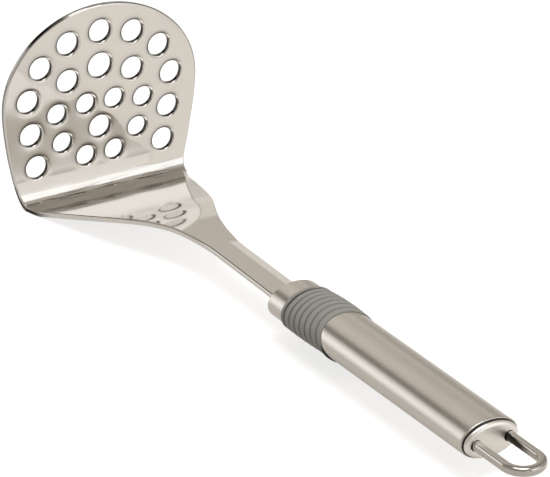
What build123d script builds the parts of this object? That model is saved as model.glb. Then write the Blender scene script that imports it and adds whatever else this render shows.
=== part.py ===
from build123d import *
import math
import os

# Potato masher, lying as on a table: the perforated plate stands up along +Z, its width is
# along X, and the handle runs along -Y. The origin is at the bottom centre of the whole
# object. All sizes are in millimetres, and a reach is a distance behind the plate, measured
# along the handle's axis.

# Head: one pressed sheet that is the plate, the bend, the neck, the shank and the tang
head_width = 87.9
head_height = 79.7
widest_height = 41.7
side_width = 83.4
side_height = 21.1
corner_width = 72.8
corner_lean_degrees = 21.0
sheet_thickness = 2.0
bend_radius = 10.5
neck_radius = 110.0
shank_set_radius = 300.0
plate_lean_degrees = 1.5
neck_rise_degrees = 14.2
shank_drop_degrees = 1.4
axis_height = 12.9
neck_front_width = 73.4
neck_front_reach = 6.4
neck_front_clearance = 3.2
flare_end_reach = 103.0
shank_width = 12.8
# the neck's outline, as shares of the way to the shank and of the narrowing on that way
neck_outline_shares = [(0.182, 0.188), (0.486, 0.528), (0.735, 0.876)]

# Holes of the plate
medium_hole_diameter = 9.4
large_hole_diameter = 10.4
small_hole_diameter = 8.3
hole_rim_round = 1.1
# hole places on one half, as shares of half the head's width and of the head's height
medium_hole_shares = [
    (0.0, 0.858),
    (0.327, 0.824),
    (0.601, 0.721),
    (0.730, 0.558),
    (0.705, 0.376),
    (0.653, 0.197),
    (0.328, 0.624),
    (0.0, 0.344),
]
large_hole_shares = [(0.0, 0.674)]
small_hole_shares = [(0.439, 0.458), (0.145, 0.482), (0.385, 0.299), (0.147, 0.202)]

# Tang and its cross pins
tang_width = 8.4
tang_length = 62.0
tang_pin_diameter = 3.0
tang_pin_inset = 10.0
tang_pin_spacing = 26.0
tang_pin_end_inset = 0.8

# Front ferrule
ferrule_reach = 145.8
ferrule_width = 22.6
ferrule_depth = 14.4
ferrule_wall = 0.8
ferrule_shown_length = 9.4
ferrule_hidden_length = 3.0
ferrule_edge_round = 0.6

# Ribbed rubber grip
grip_length = 44.0
grip_top_length = 22.2
grip_front_width = 23.0
grip_front_depth = 17.2
grip_front_round = 0.4
grip_lip_length = 1.5
grip_groove_width = 0.8
grip_groove_depth = 0.8
grip_bulge = 0.5
grip_rib_count = 7
grip_rib_height = 0.5
grip_tube_gap = 0.4
# where a rib rises, tops out and falls, as shares of one rib's length
grip_rise_share = 0.3
grip_fall_share = 0.8

# Steel handle tube
tube_front_width = 23.6
tube_front_depth = 15.1
tube_back_width = 23.4
tube_back_depth = 14.4
tube_wall = 0.8
tube_length = 89.9
tube_cut_degrees = 35.0
tube_end_round = 0.4

# Inner handle core, which carries the tang, the grip and the tube
core_length = 66.0
core_sleeve_thickness = 2.2

# End of the handle: gasket, cap, anchor, retainer and hanging loop
gasket_thickness = 0.5
gasket_inset = 0.5
cap_height = 1.8
cap_inset = 0.85
cap_round = 1.4
cap_face_wall = 1.0
cap_skirt_length = 6.0
cap_skirt_wall = 0.9
anchor_length = 14.0
retainer_thickness = 1.2
retainer_border = 1.6
loop_wire_diameter = 3.4
loop_leg_spacing = 13.6
loop_length = 24.4
loop_head_diameter = 4.6
loop_head_thickness = 1.2

# Fits
slip_fit = 0.06
slot_fit = 0.1
leg_hole_fit = 0.35
overrun = 4.0

# Places that follow from the sizes
half_sheet = sheet_thickness / 2
bend_outer_radius = bend_radius + half_sheet
plate_lean = math.radians(plate_lean_degrees)
neck_rise = math.radians(neck_rise_degrees)
shank_drop = math.radians(shank_drop_degrees)
cut_slope = math.tan(math.radians(tube_cut_degrees))
tang_end_reach = ferrule_reach + tang_length
grip_front_reach = ferrule_reach + ferrule_shown_length
grip_back_reach = grip_front_reach + grip_length
core_front_reach = grip_front_reach + ferrule_hidden_length
core_back_reach = core_front_reach + core_length
tube_tip_reach = grip_front_reach + grip_top_length
tube_back_reach = tube_tip_reach + tube_length
tube_edge_reach = tube_tip_reach + tube_front_depth / 2 * cut_slope
cap_front_reach = tube_back_reach + gasket_thickness
cap_back_reach = cap_front_reach + cap_height
skirt_front_reach = cap_front_reach - cap_skirt_length
anchor_back_reach = cap_back_reach - cap_face_wall
anchor_front_reach = anchor_back_reach - anchor_length
retainer_front_reach = anchor_front_reach - retainer_thickness
loop_start_reach = retainer_front_reach - loop_head_thickness
loop_tip_reach = cap_back_reach + loop_length

# Reach zero is where the middle of the leaning plate meets the level of the handle's axis.
bend_centre_drop = axis_height - bend_outer_radius
bend_centre_reach = bend_radius / math.cos(plate_lean) - bend_centre_drop * math.tan(plate_lean)
front_reach = bend_centre_reach - bend_outer_radius
overall_length = loop_tip_reach - front_reach
zero_y = overall_length / 2 + front_reach


def at(reach, height=0.0, across=0.0):
    """A point given by its reach, its height over the handle's axis and its place across."""
    return Vector(across, zero_y - reach, axis_height + height)


# Ovals across the handle

def oval(reach, width, depth, slope=0.0):
    """An oval face at a reach. With a slope it leans forward at its top, and keeps its outline."""
    plane = Plane(origin=at(reach), x_dir=(1, 0, 0), z_dir=(0, -1, slope))
    return plane * Ellipse(width / 2, depth / 2 * math.sqrt(1 + slope * slope))


def oval_bar(sections):
    """A solid ruled through ovals, each given as its reach, width, depth and slope."""
    return loft([oval(*section) for section in sections], ruled=True)


def straight_bar(front, back, width, depth):
    return oval_bar([(front, width, depth), (back, width, depth)])


def tube_size(reach, inset=0.0):
    """The width and depth of the tapering tube at a reach, taken in by an inset all round."""
    share = (reach - tube_tip_reach) / (tube_back_reach - tube_tip_reach)
    width = tube_front_width + (tube_back_width - tube_front_width) * share
    depth = tube_front_depth + (tube_back_depth - tube_front_depth) * share
    return width - 2 * inset, depth - 2 * inset


def slot_block(front, back, width, thickness):
    """A flat block on the handle's axis, for the slots that the sheet passes through."""
    return Pos(at((front + back) / 2)) * Box(width, back - front, thickness)


def leg_rods(front, back, diameter):
    """Two round rods along the legs of the hanging loop."""
    rods = []
    for side in (-1, 1):
        start = at(front, 0, side * loop_leg_spacing / 2)
        plane = Plane(origin=start, x_dir=(1, 0, 0), z_dir=(0, -1, 0))
        rods.append(extrude(plane * Circle(diameter / 2), amount=back - front))
    return rods


def upright_rods(diameter, half_length):
    """Two upright rods through the tang, for the cross pins and their holes."""
    rods = []
    for index in range(2):
        reach = core_front_reach + tang_pin_inset + index * tang_pin_spacing
        rods.append(Pos(at(reach)) * Cylinder(diameter / 2, 2 * half_length))
    return rods


# Head

def strip_face(points, radii, thickness):
    """The side view of a bent sheet: its middle line, given half a thickness to each side."""
    half = thickness / 2
    steps = [(b - a).normalized() for a, b in zip(points, points[1:])]
    sides = []
    for sign in (1, -1):
        corners = []
        for index, point in enumerate(points):
            before = steps[max(index - 1, 0)]
            after = steps[min(index, len(steps) - 1)]
            normal = Vector(-before.Y - after.Y, before.X + after.X)
            shift = normal * (2 * half / normal.dot(normal))
            corners.append(point + shift * sign)
        bends = []
        for radius, before, after in zip(radii, steps, steps[1:]):
            turn = before.X * after.Y - before.Y * after.X
            bends.append(radius - math.copysign(half, turn) * sign)
        sides.append(FilletPolyline(*corners, radius=bends))
    left, right = sides
    outline = left + Line(left @ 1, right @ 1) + right + Line(right @ 0, left @ 0)
    return make_face(outline)


def sheet_points():
    """The corners of the sheet's middle line, as reach and height over the handle's axis."""
    top_height = head_height - axis_height + overrun
    top = Vector(top_height * math.tan(plate_lean), top_height)
    neck_foot = Vector(
        bend_centre_reach + bend_radius * math.sin(neck_rise),
        -bend_centre_drop - bend_radius * math.cos(neck_rise),
    )
    plate_slope, neck_slope = math.tan(plate_lean), math.tan(neck_rise)
    shank_slope = math.tan(shank_drop)
    corner_height = (neck_foot.Y - neck_slope * neck_foot.X) / (1 - neck_slope * plate_slope)
    corner = Vector(corner_height * plate_slope, corner_height)
    crest_reach = (
        shank_slope * ferrule_reach + neck_slope * neck_foot.X - neck_foot.Y
    ) / (neck_slope + shank_slope)
    crest = Vector(crest_reach, shank_slope * (ferrule_reach - crest_reach))
    return [top, corner, crest, Vector(ferrule_reach, 0), Vector(tang_end_reach, 0)]


def front_outline():
    """The plate seen along the handle: half an oval on top of two curved sides."""
    crown = EllipticalCenterArc(
        (0, widest_height), head_width / 2, head_height - widest_height, 0, arc_size=180
    )
    corner_slope = math.tan(math.radians(corner_lean_degrees))
    sides = []
    for side in (1, -1):
        widest = (side * head_width / 2, widest_height)
        middle = (side * side_width / 2, side_height)
        corner = (side * corner_width / 2, 0)
        tangents = [(0, -1), (-side * corner_slope, -1)]
        sides.append(Spline(widest, middle, corner, tangents=tangents))
    floor = Line(sides[0] @ 1, sides[1] @ 1)
    return make_face(crown + sides + floor)


def plan_outline():
    """The neck, shank and tang seen from above, as half widths over the reach, on both sides."""
    neck_half, shank_half = neck_front_width / 2, shank_width / 2
    neck_points = [(neck_half, neck_front_reach)]
    for way_share, narrowing_share in neck_outline_shares:
        neck_points.append((
            neck_half + (shank_half - neck_half) * narrowing_share,
            neck_front_reach + (flare_end_reach - neck_front_reach) * way_share,
        ))
    neck_points.append((shank_half, flare_end_reach))
    front = front_reach - overrun
    wide = head_width / 2 + overrun
    halves = []
    for side in (1, -1):
        spline_points = [(side * x, reach) for x, reach in neck_points]
        start_slope = (spline_points[1][0] - spline_points[0][0]) / (
            spline_points[1][1] - spline_points[0][1]
        )
        neck = Spline(spline_points, tangents=[(start_slope, 1), (0, 1)])
        lead = Polyline(
            (0, front), (side * wide, front), (side * wide, neck_front_clearance), neck @ 0
        )
        tail = Polyline(
            neck @ 1,
            (side * shank_half, core_front_reach),
            (side * tang_width / 2, core_front_reach),
            (side * tang_width / 2, tang_end_reach),
            (0, tang_end_reach),
        )
        halves += [lead, neck, tail]
    return make_face(halves)


def hole_cutter(diameter):
    """A hole's cutter about Z, flared at the top so that the sheet's rim is left rounded."""
    radius = diameter / 2
    back, front = -half_sheet - overrun, half_sheet + overrun
    flare = radius + hole_rim_round
    flare_start = half_sheet - hole_rim_round
    slant = hole_rim_round * math.cos(math.radians(45))
    rim = ThreePointArc(
        (radius, flare_start), (flare - slant, flare_start + slant), (flare, half_sheet)
    )
    lower = Polyline((0, back), (radius, back), (radius, flare_start))
    upper = Polyline((flare, half_sheet), (flare, front), (0, front), (0, back))
    return revolve(Plane.XZ * make_face(lower + rim + upper), axis=Axis.Z)


def hole_cutters():
    """One cutter for each hole of the plate, on both halves of the pattern."""
    groups = [
        (medium_hole_diameter, medium_hole_shares),
        (large_hole_diameter, large_hole_shares),
        (small_hole_diameter, small_hole_shares),
    ]
    facing = (0, -math.cos(plate_lean), -math.sin(plate_lean))
    cutters = []
    for diameter, shares in groups:
        cutter = hole_cutter(diameter)
        for across_share, height_share in shares:
            height = height_share * head_height - axis_height
            across = across_share * head_width / 2
            for x in sorted({across, -across}):
                centre = at(height * math.tan(plate_lean), height, x)
                cutters.append(Plane(origin=centre, x_dir=(1, 0, 0), z_dir=facing) * cutter)
    return cutters


def masher_head():
    """The pressed sheet: bent side view, trimmed to its two outlines, with holes and pin holes."""
    side_plane = Plane(origin=at(0), x_dir=(0, -1, 0), z_dir=(-1, 0, 0))
    profile = strip_face(
        sheet_points(), [bend_radius, neck_radius, shank_set_radius], sheet_thickness
    )
    sheet = extrude(side_plane * profile, amount=head_width / 2 + overrun, both=True)
    front_plane = Plane(origin=(0, 0, 0), x_dir=(1, 0, 0), z_dir=(0, -1, 0))
    front_block = extrude(front_plane * front_outline(), amount=overall_length, both=True)
    plan_plane = Plane(origin=(0, zero_y, 0), x_dir=(1, 0, 0), z_dir=(0, 0, -1))
    plan_block = extrude(plan_plane * plan_outline(), amount=head_height + overrun, both=True)
    head = sheet & front_block & plan_block
    head -= hole_cutters()
    return head - upright_rods(tang_pin_diameter + 2 * slip_fit, sheet_thickness)


# Handle front

def front_ferrule():
    """A pressed oval collar, closed in front but for the slot that the shank passes."""
    shell = straight_bar(ferrule_reach, core_front_reach, ferrule_width, ferrule_depth)
    shell = fillet(shell.edges().sort_by(Axis.Y)[-1], ferrule_edge_round)
    shell -= straight_bar(
        ferrule_reach + ferrule_wall,
        core_front_reach + overrun,
        ferrule_width - 2 * ferrule_wall,
        ferrule_depth - 2 * ferrule_wall,
    )
    return shell - slot_block(
        ferrule_reach - overrun,
        core_front_reach,
        shank_width + 2 * slot_fit,
        sheet_thickness + 2 * slot_fit,
    )


def tang_bush():
    """A plastic filler that centres the shank in the ferrule."""
    inset = 2 * (ferrule_wall + slip_fit)
    bush = straight_bar(
        ferrule_reach + ferrule_wall, core_front_reach, ferrule_width - inset, ferrule_depth - inset
    )
    return bush - slot_block(
        ferrule_reach,
        core_front_reach + overrun,
        shank_width + 2 * slot_fit,
        sheet_thickness + 2 * slot_fit,
    )


def core_sleeve_size(reach):
    """The core's size inside the rubber sleeve."""
    return tube_size(reach, tube_wall + core_sleeve_thickness)


def core_tail_size(reach):
    """The core's size where it fills the steel tube."""
    return tube_size(reach, tube_wall + slip_fit)


def handle_core():
    """The moulded core: a slim front inside the rubber and a full tail inside the tube."""
    slim = oval_bar([
        (core_front_reach, *core_sleeve_size(core_front_reach)),
        (grip_back_reach, *core_sleeve_size(grip_back_reach)),
    ])
    tail = oval_bar([
        (grip_back_reach, *core_tail_size(grip_back_reach)),
        (core_back_reach, *core_tail_size(core_back_reach)),
    ])
    core = slim + tail
    core -= slot_block(
        core_front_reach - overrun,
        tang_end_reach,
        tang_width + 2 * slot_fit,
        sheet_thickness + 2 * slot_fit,
    )
    return core - upright_rods(tang_pin_diameter + 2 * slip_fit, ferrule_depth)


def tang_pins():
    """Two pins that lock the tang in the core, hidden under the rubber."""
    depth = core_sleeve_size(core_front_reach)[1]
    return Compound(children=upright_rods(tang_pin_diameter, depth / 2 - tang_pin_end_inset))


def grip_sections():
    """The ribbed outside: a lip, a groove, ribs that lean more and more, and a hidden spigot."""
    lip_end = grip_front_reach + grip_lip_length
    groove_end = lip_end + grip_groove_width
    round_in = 2 * grip_front_round
    groove_in = 2 * grip_groove_depth
    groove_edge = grip_groove_width / 4
    sections = [
        (grip_front_reach, grip_front_width - round_in, grip_front_depth - round_in),
        (grip_front_reach + grip_front_round, grip_front_width, grip_front_depth),
        (lip_end, grip_front_width, grip_front_depth),
        (lip_end + groove_edge, grip_front_width - groove_in, grip_front_depth - groove_in),
        (groove_end - groove_edge, grip_front_width - groove_in, grip_front_depth - groove_in),
    ]
    ribs_end = tube_edge_reach - grip_tube_gap
    pitch = (ribs_end - groove_end) / grip_rib_count
    for rib in range(grip_rib_count):
        for share, rise in ((0, 0), (grip_rise_share, 1), (grip_fall_share, 1)):
            way = (rib + share) / grip_rib_count
            outset = grip_bulge * 4 * way * (1 - way) - grip_rib_height * (1 - rise)
            width = grip_front_width + (tube_front_width - grip_front_width) * way
            depth = grip_front_depth + (tube_front_depth - grip_front_depth) * way
            sections.append((
                groove_end + pitch * (rib + share),
                width + 2 * outset,
                depth + 2 * outset,
                cut_slope * way,
            ))
    spigot = tube_size(tube_edge_reach, tube_wall + slip_fit)
    sections.append((ribs_end, *spigot, cut_slope))
    sections.append((grip_back_reach, *tube_size(grip_back_reach, tube_wall + slip_fit)))
    return sections


def grip_sleeve():
    """The rubber sleeve: its ribbed outside less the ferrule's and the core's seats."""
    sleeve = oval_bar(grip_sections())
    sleeve -= straight_bar(
        grip_front_reach - overrun,
        core_front_reach,
        ferrule_width + 2 * slip_fit,
        ferrule_depth + 2 * slip_fit,
    )
    front_width, front_depth = core_sleeve_size(core_front_reach)
    back_width, back_depth = core_sleeve_size(grip_back_reach)
    return sleeve - oval_bar([
        (core_front_reach, front_width + 2 * slip_fit, front_depth + 2 * slip_fit),
        (grip_back_reach, back_width + 2 * slip_fit, back_depth + 2 * slip_fit),
    ])


# Handle tube and end

def handle_tube():
    """The tapering steel tube, cut on a slant in front so that its top reaches over the rubber."""
    outside = oval_bar([
        (tube_edge_reach, *tube_size(tube_edge_reach), cut_slope),
        (tube_back_reach, *tube_size(tube_back_reach)),
    ])
    outside = fillet(outside.edges().sort_by(Axis.Y)[0], tube_end_round)
    front = tube_edge_reach - overrun
    back = tube_back_reach + overrun
    inside = oval_bar([
        (front, *tube_size(front, tube_wall), cut_slope),
        (back, *tube_size(back, tube_wall)),
    ])
    return outside - inside


def skirt_size():
    return tube_size(tube_back_reach, tube_wall + slip_fit)


def cap_gasket():
    """The thin dark ring between the tube's end and the cap."""
    width, depth = skirt_size()
    ring = straight_bar(
        tube_back_reach, cap_front_reach, *tube_size(tube_back_reach, gasket_inset)
    )
    return ring - straight_bar(
        tube_back_reach - overrun, cap_front_reach + overrun, width + 2 * slip_fit, depth + 2 * slip_fit
    )


def end_cap():
    """A domed cap with a skirt inside the tube and two holes for the hanging loop's legs."""
    dome = straight_bar(cap_front_reach, cap_back_reach, *tube_size(tube_back_reach, cap_inset))
    dome = fillet(dome.edges().sort_by(Axis.Y)[0], cap_round)
    width, depth = skirt_size()
    skirt = straight_bar(skirt_front_reach, cap_front_reach, width, depth)
    wall = 2 * cap_skirt_wall
    pocket = straight_bar(
        skirt_front_reach - overrun, anchor_back_reach, width - wall, depth - wall
    )
    holes = leg_rods(anchor_back_reach - overrun, cap_back_reach + overrun, leg_hole_diameter())
    return dome + skirt - pocket - holes


def leg_hole_diameter():
    return loop_wire_diameter + 2 * leg_hole_fit


def loop_anchor():
    """The plastic plug inside the handle's end that holds the hanging loop's legs."""
    width, depth = skirt_size()
    inset = 2 * (cap_skirt_wall + slip_fit)
    anchor = straight_bar(anchor_front_reach, skirt_front_reach, width, depth)
    anchor += straight_bar(skirt_front_reach, anchor_back_reach, width - inset, depth - inset)
    return anchor - leg_rods(
        anchor_front_reach - overrun,
        anchor_back_reach + overrun,
        loop_wire_diameter + 2 * slip_fit,
    )


def loop_retainer():
    """The steel plate behind the anchor that the loop's headed legs pull against."""
    width, depth = skirt_size()
    border = 2 * retainer_border
    plate = straight_bar(
        retainer_front_reach, anchor_front_reach, width - border, depth - border
    )
    return plate - leg_rods(
        retainer_front_reach - overrun,
        anchor_front_reach + overrun,
        loop_wire_diameter + 2 * slip_fit,
    )


def hanging_loop():
    """A bent wire: two straight legs, a half-round end, and a head on each hidden leg end."""
    half = loop_leg_spacing / 2
    arc_reach = loop_tip_reach - loop_wire_diameter / 2 - half
    legs = leg_rods(retainer_front_reach, arc_reach, loop_wire_diameter)
    section_plane = Plane(origin=at(arc_reach, 0, half), x_dir=(1, 0, 0), z_dir=(0, -1, 0))
    turn_axis = Axis(at(arc_reach), (0, 0, 1))
    bow = revolve(
        section_plane * Circle(loop_wire_diameter / 2), axis=turn_axis, revolution_arc=-180
    )
    heads = leg_rods(loop_start_reach, retainer_front_reach, loop_head_diameter)
    return bow + legs + heads


# Writing the parts

parts = {
    "masher_head": masher_head(),
    "front_ferrule": front_ferrule(),
    "tang_bush": tang_bush(),
    "handle_core": handle_core(),
    "tang_pins": tang_pins(),
    "grip_sleeve": grip_sleeve(),
    "handle_tube": handle_tube(),
    "cap_gasket": cap_gasket(),
    "end_cap": end_cap(),
    "loop_anchor": loop_anchor(),
    "loop_retainer": loop_retainer(),
    "hanging_loop": hanging_loop(),
}

os.makedirs("parts", exist_ok=True)
for name, shape in parts.items():
    export_step(shape, f"parts/{name}.step")
    print(name, round(shape.volume, 1))
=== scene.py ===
import math

import bmesh
import bpy
import numpy as np
from mathutils import Matrix, Vector
from mathutils.geometry import delaunay_2d_cdt


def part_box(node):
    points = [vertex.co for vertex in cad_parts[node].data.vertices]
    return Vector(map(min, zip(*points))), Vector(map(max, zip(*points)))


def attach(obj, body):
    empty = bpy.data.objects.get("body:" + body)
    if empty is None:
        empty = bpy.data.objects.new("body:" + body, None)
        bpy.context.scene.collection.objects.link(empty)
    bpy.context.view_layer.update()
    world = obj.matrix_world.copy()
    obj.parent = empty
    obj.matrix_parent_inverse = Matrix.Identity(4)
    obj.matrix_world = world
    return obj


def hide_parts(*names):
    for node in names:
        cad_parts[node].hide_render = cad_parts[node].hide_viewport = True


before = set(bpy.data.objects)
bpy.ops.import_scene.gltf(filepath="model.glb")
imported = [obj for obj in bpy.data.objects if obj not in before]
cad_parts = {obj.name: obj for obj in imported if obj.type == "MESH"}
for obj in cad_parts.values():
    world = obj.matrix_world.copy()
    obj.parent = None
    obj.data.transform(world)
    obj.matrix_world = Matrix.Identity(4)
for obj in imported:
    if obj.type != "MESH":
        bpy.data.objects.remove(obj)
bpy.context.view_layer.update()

mm = 0.001

# The tool lies along Y with its plate standing up along Z. A reach is a distance behind the
# plate, measured along the handle's axis, and a height is measured from that axis.

head = {
    "thickness": 2.0 * mm,
    "bendRadius": 10.5 * mm,          # of the sheet's middle, at the fold
    "neckRadius": 110.0 * mm,
    "shankSetRadius": 300.0 * mm,
    "plateLean": math.radians(1.5),
    "neckRise": math.radians(14.2),
    "shankDrop": math.radians(1.4),
    "widestHeight": 41.7 * mm,        # over the table
    "sideHalfWidth": 41.7 * mm,
    "sideHeight": 21.1 * mm,
    "cornerHalfWidth": 36.4 * mm,
    "cornerLean": math.radians(21.0),
    "neckHalfWidth": 36.7 * mm,
    "neckFrontReach": 6.4 * mm,
    "flareEndReach": 103.0 * mm,
    "shankHalfWidth": 6.4 * mm,
    "neckShares": [(0.182, 0.188), (0.486, 0.528), (0.735, 0.876)],
    "tangHalfWidth": 4.2 * mm,
    "tangLength": 62.0 * mm,
    "edgeTurns": [(0, 30, 0.12), (30, 37, 0.5), (37, 90, 0.36)],   # degrees from, to, and mm of arc
    "outerEdgeRound": 0.2 * mm,
    "holeInnerRound": 0.65 * mm,
    "holeOuterRound": 0.15 * mm,
    "dimple": 0.26 * mm,              # how far the punch drew the sheet in at each hole
    "dimpleReach": 0.75 * mm,
    "foldPinch": 1.35 * mm,           # how much tighter than round the fold's middle is
    "foldPinchReach": 4.4 * mm,
    "plateSet": 0.5 * mm,             # how far the plate curves towards the handle above its fold
    "plateSetReach": 6.0 * mm,
    "plateSetBack": (1.0 * mm, 12.0 * mm),      # and ends over this stretch of the fold
    "swell": 0.5 * mm,                # a slow swell of the plate, right of its middle
    "swellAcross": 22.0 * mm,
    "swellReach": 14.0 * mm,
    "swellEnd": 25.0 * mm,            # it fades out over this length above the fold
    "wave": 0.012 * mm,               # how far the pressed sheet is out of flat
    "waveLengths": (9.0 * mm, 11.0 * mm),       # across and along, for one radian of the wave
    "ripple": 0.02 * mm,              # fine ripples that bending left along the fold
    "rippleReach": 5.0 * mm,
    "paintedStreaks": 0.55,                  # how dark the painted streaks of dark reflection along the fold are
    "streakShift": 0.9 * mm,          # they lie on both sides of a line behind the fold's middle
    "streakReach": 2.4 * mm,
    "seamHeight": 9.0 * mm,           # where the holed plate meets the ruled neck, over the table
    "shadeSide": (-0.6, -0.8),        # the side of each hole where a dark reflection is painted on its edge
    "shadeFade": (-0.3, 0.6),         # cosines from that side where the painted dark ends and is full
    "shadeReach": 0.5 * mm,
    "cutTop": 0.55 * mm,              # the sheared wall, duller steel under painted shade, reaches up to here over the sheet's middle
    "cutTopRight": 0.85 * mm,
    "cutTopDark": 0.8 * mm,           # and up to here where the rim's painted dark reflection is darkest
    "cutFade": (8.0 * mm, 20.0 * mm),           # behind the plate its painted shade fades out
    "rimMark": 0.6,                   # how dark the wall's painted shade is, and the side where a painted dark reflection is darkest
    "rimShadeSide": (-0.51, -0.86),
    "rimShadeFade": (0.96, 0.99),
    "leftTrim": 0.02,                 # the pressed outline is this share narrower on its left
    "shankShift": -0.35 * mm,         # and its shank leaves the middle by this much
    "shiftReach": (30.0 * mm, 100.0 * mm),
    "rollStart": 2.3 * mm,            # the shank's top falls away from here to its right edge
    "rollSlope": math.tan(math.radians(4.2)),
    "rollReach": (92.0 * mm, 97.0 * mm),
    "tangFade": 6.0 * mm,             # inside the handle, the shift and the roll end over this
}

# hole radius, then each hole's place on one half as shares of half the width and of the height
plateHoles = [
    (4.70 * mm, [(0.0, 0.858), (0.327, 0.824), (0.601, 0.721), (0.730, 0.558),
                 (0.705, 0.376), (0.653, 0.197), (0.328, 0.624), (0.0, 0.344)]),
    (5.20 * mm, [(0.0, 0.674)]),
    (4.15 * mm, [(0.439, 0.458), (0.145, 0.482), (0.385, 0.299), (0.147, 0.202)]),
]

tubeLow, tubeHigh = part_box("handle_tube")
capLow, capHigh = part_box("end_cap")
loopLow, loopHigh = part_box("hanging_loop")
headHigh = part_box("masher_head")[1]
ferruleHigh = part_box("front_ferrule")[1]
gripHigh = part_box("grip_sleeve")[1]
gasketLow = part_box("cap_gasket")[0]
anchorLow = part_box("loop_anchor")[0]

axisHeight = (tubeLow.z + tubeHigh.z) / 2
halfSheet = head["thickness"] / 2
bendOuter = head["bendRadius"] + halfSheet
bendDrop = axisHeight - bendOuter     # the bend's centre lies this far under the axis
bendReach = head["bendRadius"] / math.cos(head["plateLean"])
bendReach -= bendDrop * math.tan(head["plateLean"])
zeroY = headHigh.y - (bendOuter - bendReach)
ferruleReach = zeroY - ferruleHigh.y
gripFrontReach = zeroY - gripHigh.y


def toWorld(across, reach, height):
    # arrays of across, reach and height over the axis, as places in the frame
    across, reach, height = np.broadcast_arrays(across, reach, height)
    return np.stack([across, zeroY - reach, axisHeight + height], -1).reshape(-1, 3)


def gridFaces(rows, columns, closed=False):
    # quads between neighbouring rows and columns, and from the last column to the first if closed
    row = np.arange(rows - 1)[:, None]
    column = np.arange(columns if closed else columns - 1)[None, :]
    follow = (column + 1) % columns
    corners = [row * columns + column, row * columns + follow,
               (row + 1) * columns + follow, (row + 1) * columns + column]
    return np.stack(np.broadcast_arrays(*corners), -1).reshape(-1, 4)


def joined(parts):
    # several (points, faces) pairs as one, with the faces renumbered
    points, faces, start = [], [], 0
    for partPoints, partFaces in parts:
        points.append(partPoints)
        faces += (np.asarray(partFaces) + start).tolist()
        start += len(partPoints)
    return np.concatenate(points), faces


def circle(count):
    turn = np.linspace(0, 2 * math.pi, count, endpoint=False)
    return np.stack([np.cos(turn), np.sin(turn)], -1)


def smoothStep(value, low, high):
    # 0 below low, 1 above high and an even curve between them
    share = np.clip((value - low) / (high - low), 0, 1)
    return share * share * (3 - 2 * share)


def addPiece(name, parts, material, node, shadeMarks=None):
    # welds the parts, turns the faces outwards and lets the piece stand for its CAD node; the marks
    # are a value for each point that its material reads as painted shade
    points, faces = joined(parts)
    mesh = bpy.data.meshes.new(name)
    mesh.from_pydata(points.tolist(), [], faces)
    if shadeMarks is not None:
        mesh.attributes.new("shadeMark", "FLOAT", "POINT").data.foreach_set("value", shadeMarks)
    work = bmesh.new()
    work.from_mesh(mesh)
    bmesh.ops.remove_doubles(work, verts=work.verts, dist=0.004 * mm)
    bmesh.ops.recalc_face_normals(work, faces=work.faces)
    openEdges = sum(1 for edge in work.edges if len(edge.link_faces) != 2)
    work.to_mesh(mesh)
    work.free()
    mesh.polygons.foreach_set("use_smooth", np.ones(len(mesh.polygons), bool))
    mesh.materials.append(material)
    piece = bpy.data.objects.new(name, mesh)
    bpy.context.scene.collection.objects.link(piece)
    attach(piece, "root")
    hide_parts(node)
    print("made", name, "with", len(mesh.vertices), "points and", openEdges, "open edges")
    return piece


def fromHoles(points, holes):
    # how far each flat point lies from the edge of the nearest hole, below 0 inside one
    return (np.linalg.norm(points[:, None] - holes[:, :2], axis=2) - holes[:, 2]).min(1)


def holedFace(border, holes, edges, extra):
    # a flat outline with round holes, as its flat points and its triangles: border is the outline's
    # points, holes rows of centre and radius, and extra more points inside
    points, start = [border], len(border)
    rims = [(i, (i + 1) % start) for i in range(start)]
    ring = circle(edges)
    for hole in holes:
        points.append(hole[:2] + ring * hole[2])
        rims += [(start + i, start + (i + 1) % edges) for i in range(edges)]
        start += edges
    flat = np.concatenate(points + extra) / mm
    made = delaunay_2d_cdt([Vector(p) for p in flat], rims, [], 1, 1e-5)
    places = np.array([tuple(p) for p in made[0]]) * mm
    triangles = np.array([f for f in made[2] if len(f) == 3])
    return places, triangles[fromHoles(places[triangles].mean(1), holes) > -0.01 * mm]


# Materials

def newMaterial(name, colour, metallic, roughness):
    material = bpy.data.materials.new(name)
    material.use_nodes = True
    shader = material.node_tree.nodes["Principled BSDF"]
    shader.inputs["Base Color"].default_value = (*colour, 1)
    shader.inputs["Metallic"].default_value = metallic
    shader.inputs["Roughness"].default_value = roughness
    return material, material.node_tree, shader


def setSocket(tree, socket, value):
    # the value is a number, a colour or another node's output
    if isinstance(value, bpy.types.NodeSocket):
        tree.links.new(value, socket)
    else:
        socket.default_value = (*value, 1) if isinstance(value, tuple) else value


def maths(tree, operation, *values):
    node = tree.nodes.new("ShaderNodeMath")
    node.operation = operation
    for socket, value in zip(node.inputs, values):
        setSocket(tree, socket, value)
    return node.outputs[0]


def mixed(tree, share, under, over, colours=False):
    # from under to over by the share, as numbers or as colours
    mix = tree.nodes.new("ShaderNodeMix")
    mix.data_type = "RGBA" if colours else "FLOAT"
    first = 6 if colours else 2
    for index, value in ((0, share), (first, under), (first + 1, over)):
        setSocket(tree, mix.inputs[index], value)
    return mix.outputs[2 if colours else 0]


def remapped(tree, *settings):
    # one Map Range node: its value, the range it comes from and the range it goes to
    remap = tree.nodes.new("ShaderNodeMapRange")
    for socket, setting in zip(remap.inputs, settings):
        setSocket(tree, socket, setting)
    return remap


def coordinates(tree, kind):
    place = tree.nodes.new("ShaderNodeTexCoord")
    split = tree.nodes.new("ShaderNodeSeparateXYZ")
    tree.links.new(place.outputs[kind], split.inputs[0])
    return split.outputs


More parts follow.
